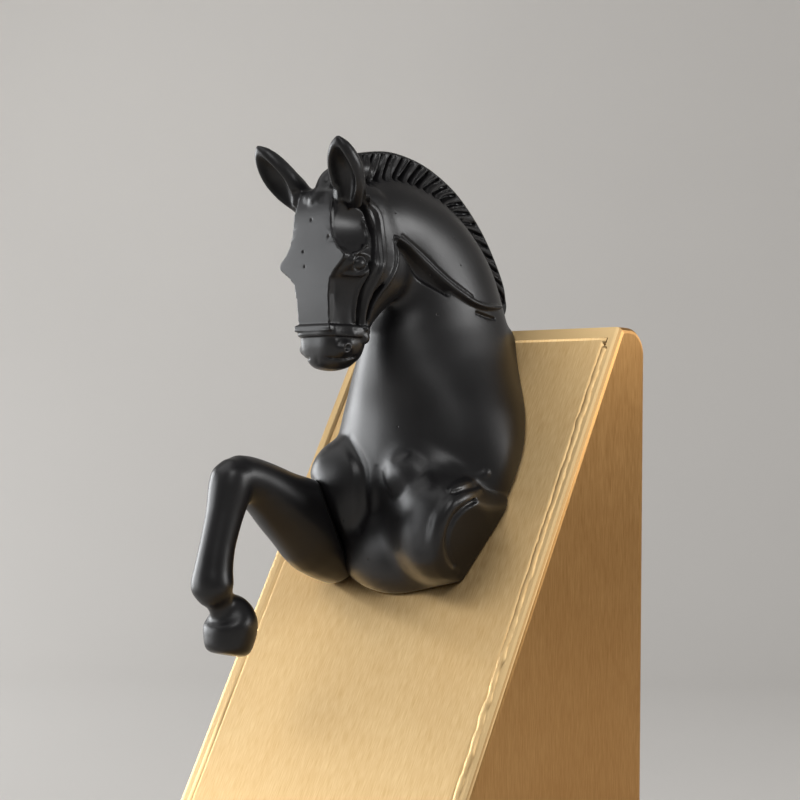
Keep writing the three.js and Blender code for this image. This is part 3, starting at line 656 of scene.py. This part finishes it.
def chest(clay):
    # the breast runs down to a full round foot on the slope
    clay.lump((1, -34, -58.2), (20.5, 10, 12.0), blend=3.0)
    # right shoulder, laid over the breast with a crease between
    clay.lump((-12.5, -39.3, -42.5), (10.3, 8.2, 13), blend=1.6)
    crease = [(-11.0, -43.6, -29.6, 0.7), (-6.4, -45.0, -33.8, 1.1), (-3.9, -45.4, -38, 1.3), (-3.4, -45.4, -43, 1.3)]
    clay.cord(crease + [(-3.8, -45.0, -47.5, 1.1), (-5.5, -44.8, -52.5, 0.7)], blend=2.0, sign=-1)
    # left foreleg folded flat against the body: a level oval inside a rounded rim
    clay.lump((15, -38, -53), (11, 9.6, 12), blend=4.0)
    clay.polish((13, -45, -43), (17, 15, 17), 3.2)
    part, x, y, z = clay.window((8, -62, -66), (30, -46, -36), 0)
    clay.cut(part, (y + 49.2).astype(np.float32), 2.5)
    clay.lump((17.5, -41.0, -52.5), (9.2, 8.4, 11.5), blend=4.0)
    clay.polish((13, -45, -46), (17, 15, 17), 2.4)
    part, x, y, z = clay.window((17, -62, -72), (40, -15, -38), 0)
    level = 0.953 * (x - 26.3) - 0.085 * (y + 42) - 0.29 * (z + 50)
    oval = (np.sqrt(((y + 35.5) / 12) ** 2 + ((z + 51.5) / 10.5) ** 2) - 1) * 10
    plate = np.maximum(np.maximum(level + 0.13 * np.clip(z + 48.5, 0, 20) ** 2, oval), -level - 9)
    clay.add(part, plate.astype(np.float32), 2.2)
    clay.cut(part, np.where(z < -43, -level, 99), 0.8)
    rim = [(25.6, -34.0, -42.0, 0.4), (26.0, -38.4, -42.9, 0.9), (26.0, -42.3, -44.1, 1.3), (25.2, -45.2, -45.5, 1.5)]
    rim += [(24.6, -47.0, -47.6, 1.6), (23.8, -48.0, -50.6, 1.7), (23.0, -47.9, -54.3, 1.6), (22.2, -46.0, -58.2, 1.4)]
    clay.cord(rim + [(21.8, -43.6, -60.7, 1.1), (21.6, -39.6, -62.2, 0.7)], blend=1.4)
    inside = [(27.2, -38.5, -44.8, 0.4), (27.2, -42.2, -46.2, 0.6), (26.5, -45.0, -48.6, 0.7)]
    inside += [(25.6, -46.2, -51.8, 0.7), (24.7, -45.8, -55.2, 0.7), (23.8, -43.6, -58.6, 0.6)]
    inside += [(23.3, -41.2, -60.8, 0.4)]
    clay.cord(inside, blend=0.9, sign=-1)
    # two low folds of skin above the rim
    fold = [(25.2, -46.0, -41.6, 1.6), (25.4, -41.0, -40.4, 2.4), (25.4, -36.2, -39.2, 2.6), (26.0, -31.5, -38.0, 2.0)]
    clay.stroke(fold, 0.45)
    fold = [(25.6, -44.5, -43.2, 1.2), (26.0, -40.4, -42.4, 1.6), (26.2, -35.8, -41.4, 1.8), (26.8, -31.0, -40.4, 1.4)]
    clay.stroke(fold, -0.35)
    # breast muscle, the dimple above it and the cleft beside it
    clay.lump((8.6, -42.6, -38.8), (4.8, 3.4, 4.6), blend=3.0)
    clay.cord([(7.4, -46.0, -33.6, 0.8), (10.0, -45.4, -31.9, 1.1), (13.6, -44.0, -30.2, 0.7)], 1.6, -1)
    cleft = [(0.6, -45.4, -37.0, 0.5), (2.8, -46.0, -41.0, 0.8), (5.2, -46.8, -44.6, 0.7), (6.6, -47.6, -47.5, 0.3)]
    clay.cord(cleft, 1.4, -1)


def horse():
    clay = Clay("horse_body")
    part, x, y, z = clay.window((-99, -99, -99), (99, 99, 99), 0)
    front = -math.cos(LEAN) * y + math.sin(LEAN) * z
    inside = np.where(clay.field < 0, front, 99)
    seat = float(inside.min())
    # the casting is carried on into the wedge while it is smoothed, so that its foot stays full
    longer = clay.field.copy()
    for i in (1, 2, 3, 4):
        dy, dz = int(round(1.75 * i / GRAIN)), int(round(0.97 * i / GRAIN))
        shifted = longer[:, dy:, : longer.shape[2] - dz]
        shifted[:] = np.minimum(shifted, clay.field[:, : longer.shape[1] - dy, dz:])
    behind = front < seat + 2 * GRAIN
    low_part = z < 0
    clay.field = np.where(behind & low_part, longer, clay.field)
    crisp = clay.soften(0.45)
    melted = clay.soften(2.0)
    reach = np.sqrt((x / 17) ** 2 + ((y + 60) / 17) ** 2 + ((z - 13) / 40) ** 2)
    share = np.clip((reach - 0.75) / 0.35, 0, 1)
    clay.field = (crisp * (1 - share) + melted * share).astype(np.float32)
    chest(clay)
    neck(clay)
    head(clay)
    clay.cut(part, np.maximum(front - seat, z - 0.35), 0.4)
    # round pockets for the two threaded inserts
    for name in ("upper_threaded_insert", "lower_threaded_insert"):
        low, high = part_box(name)
        heart = np.array(((low + high) / 2 - EDGE) / MM)
        out = np.array(OUT)
        clay.cord([(*(heart - 8 * out), 2.3), (*(heart + 4.5 * out), 2.3)], blend=0, sign=-1)
    return clay


body = horse().object("horse_body_cast", BODY_TRIANGLES)
body.data.materials.append(enamel)
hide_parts("horse_body")
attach(body, "root")


def foreleg():
    clay = Clay("raised_foreleg")
    clay.field = clay.soften(0.8)
    return clay


leg = foreleg().object("raised_foreleg_cast", LEG_TRIANGLES)
leg.data.materials.append(enamel)
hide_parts("raised_foreleg")
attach(leg, "root")


# ---------------------------------------------------------------- seams of the wedge
def seam(name, start, end, half, crown, rough=0, rings=0):
    """A soldered seam laid in the slope's face from start to end: an oval bead, uneven by the share rough."""
    out = Vector(OUT)
    along = end - start
    length = along.length
    bead = bmesh.new()
    bmesh.ops.create_cone(bead, cap_ends=True, segments=24, radius1=1, radius2=1, depth=length)
    bmesh.ops.translate(bead, verts=bead.verts, vec=(0, 0, length / 2))
    bmesh.ops.scale(bead, verts=bead.verts, vec=(half, crown, 1))
    if rings:
        sides = [edge for edge in bead.edges if abs(edge.verts[0].co.z - edge.verts[1].co.z) > length / 2]
        bmesh.ops.subdivide_edges(bead, edges=sides, cuts=rings)
        rng = np.random.default_rng(3)
        wave = [np.convolve(rng.normal(0, 1, rings + 8), np.ones(4) / 2, "same") for i in range(3)]
        for v in bead.verts:
            i = round(v.co.z / length * (rings + 1))
            v.co.x *= 1 + rough * wave[0][i]
            v.co.y *= 1 + rough * wave[1][i]
            v.co.x += half * rough * wave[2][i]
    for face in bead.faces:
        face.smooth = len(face.verts) == 4
    bmesh.ops.recalc_face_normals(bead, faces=bead.faces)
    along.normalize()
    spin = Matrix((out.cross(along), out, along)).transposed().to_4x4()
    bmesh.ops.transform(bead, matrix=Matrix.Translation(start) @ spin, verts=bead.verts)
    mesh = bpy.data.meshes.new(name)
    bead.to_mesh(mesh)
    bead.free()
    made = bpy.data.objects.new(name, mesh)
    bpy.context.scene.collection.objects.link(made)
    mesh.materials.append(slope_gold)
    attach(made, "root")


def on_slope(x, down, sink):
    """A point x to the side of the slope's middle, down its length from the top edge, sunk under its face."""
    cos, sin = math.cos(LEAN), math.sin(LEAN)
    return EDGE + Vector((x, -sin * down + cos * sink, -cos * down - sin * sink))


SEAM_INSET = 3.5 * MM  # from the wedge's side or top edge to the middle of the gap
SEAM_CROWN = 0.55 * MM
FLUSH = 0.53 * MM  # sunk so far, a bead only just fills the gap
PROUD = 0.25 * MM
gap = shell_high.x - SEAM_INSET
head_end = 6 * MM
foot = (EDGE.z - panel_low.z) / math.cos(LEAN)
right_ends = on_slope(gap, head_end, PROUD), on_slope(gap, foot, PROUD)
left_ends = on_slope(-gap, head_end, FLUSH), on_slope(-gap, foot, FLUSH)
top_ends = on_slope(-gap, SEAM_INSET, FLUSH), on_slope(gap, SEAM_INSET, FLUSH)
seam("right_seam", *right_ends, 1.0 * MM, SEAM_CROWN, rough=0.09, rings=260)
seam("left_seam", *left_ends, 1.5 * MM, SEAM_CROWN)
seam("top_seam", *top_ends, 1.5 * MM, SEAM_CROWN)


# ---------------------------------------------------------------- floor, backdrop and light
def stage_material(name, code):
    material, tree, shader = new_material(name)
    shader.inputs["Roughness"].default_value = 0.9
    shader.inputs["Specular IOR Level"].default_value = 0.2
    cloud = node(tree, "ShaderNodeTexNoise", Vector=place(tree), Scale=3.0, Detail=2.0)
    base = linear(code)
    colour = ramp(
        tree, cloud.outputs["Fac"], [(0.3, base), (0.7, [min(1, c * 1.03) for c in base[:3]] + [1.0])]
    )
    tree.links.new(colour, shader.inputs["Base Color"])
    return material


def sweep():
    """One sheet: a floor that curves up into a backdrop."""
    sheet = bmesh.new()
    profile = [(-2.4, 0.0), (0.9, 0.0)]
    profile += [
        (0.9 + 0.5 * math.sin(t), 0.5 - 0.5 * math.cos(t)) for t in np.linspace(0.1, math.pi / 2, 12)
    ]
    profile += [(1.4, 2.6)]
    verts = [sheet.verts.new((-2.6, y, z)) for y, z in profile]
    edges = [sheet.edges.new(pair) for pair in zip(verts, verts[1:])]
    made = bmesh.ops.extrude_edge_only(sheet, edges=edges)
    moved = [v for v in made["geom"] if isinstance(v, bmesh.types.BMVert)]
    bmesh.ops.translate(sheet, verts=moved, vec=(5.2, 0, 0))
    bmesh.ops.recalc_face_normals(sheet, faces=sheet.faces)
    mesh = bpy.data.meshes.new("sweep")
    turn = Matrix.Rotation(math.radians(39.7), 4, "Z")
    bmesh.ops.transform(sheet, matrix=turn, verts=sheet.verts)
    sheet.to_mesh(mesh)
    sheet.free()
    mesh.shade_smooth()
    made = bpy.data.objects.new("sweep", mesh)
    bpy.context.scene.collection.objects.link(made)
    made.data.materials.append(stage_material("pale paper sweep", "d2cfcb"))


sweep()


def softbox(name, at, towards, size, power, colour=(1, 1, 1)):
    light = bpy.data.lights.new(name, "AREA")
    light.shape = "RECTANGLE"
    light.size, light.size_y = size
    light.energy = power
    light.color = colour
    made = bpy.data.objects.new(name, light)
    made.location = at
    made.rotation_euler = (Vector(towards) - Vector(at)).to_track_quat("-Z", "Y").to_euler()
    bpy.context.scene.collection.objects.link(made)


middle = (EDGE.x, EDGE.y - 0.03, EDGE.z - 0.03)
softbox("key softbox", (-1.0, -0.77, 0.27), middle, (0.8, 0.68), 8.2, (0.96, 0.98, 1.0))
softbox("left softbox", (-1.3, -0.1, 0.28), middle, (0.6, 0.7), 11, (0.96, 0.98, 1.0))
softbox("overhead softbox", (-0.5, -0.5, 1.5), middle, (1.7, 1.3), 6.2)
softbox("side softbox", (0.95, 0.72, 0.5), middle, (0.5, 0.3), 4.6)
softbox("right softbox", (0.75, -0.62, 1.15), middle, (0.45, 0.6), 3.5)

world = bpy.data.worlds.new("studio air")
world.use_nodes = True
world.node_tree.nodes["Background"].inputs[0].default_value = linear("e6e4e2")
world.node_tree.nodes["Background"].inputs[1].default_value = 0.28
bpy.context.scene.world = world

# ---------------------------------------------------------------- camera
lens = bpy.data.cameras.new("camera")
lens.lens = 87.87
lens.sensor_width = 36
lens.clip_start = 0.01
camera = bpy.data.objects.new("camera", lens)
azimuth, pitch, roll = math.radians(39.734), math.radians(-1.650), math.radians(0.669)
right = Vector((math.cos(azimuth), math.sin(azimuth), 0))
ahead = Vector((-math.sin(azimuth), math.cos(azimuth), 0))
forward = ahead * math.cos(pitch) - Vector((0, 0, 1)) * math.sin(pitch)
up = ahead * math.sin(pitch) + Vector((0, 0, 1)) * math.cos(pitch)
across = right * math.cos(roll) + up * math.sin(roll)
upwards = up * math.cos(roll) - right * math.sin(roll)
stand = EDGE + Vector((0.32205, -0.42233, -0.03401))
camera.matrix_world = Matrix.Translation(stand) @ (
    Matrix((across, upwards, -forward)).transposed().to_4x4()
)
bpy.context.scene.collection.objects.link(camera)
bpy.context.scene.camera = camera
bpy.context.scene.view_settings.view_transform = "Standard"
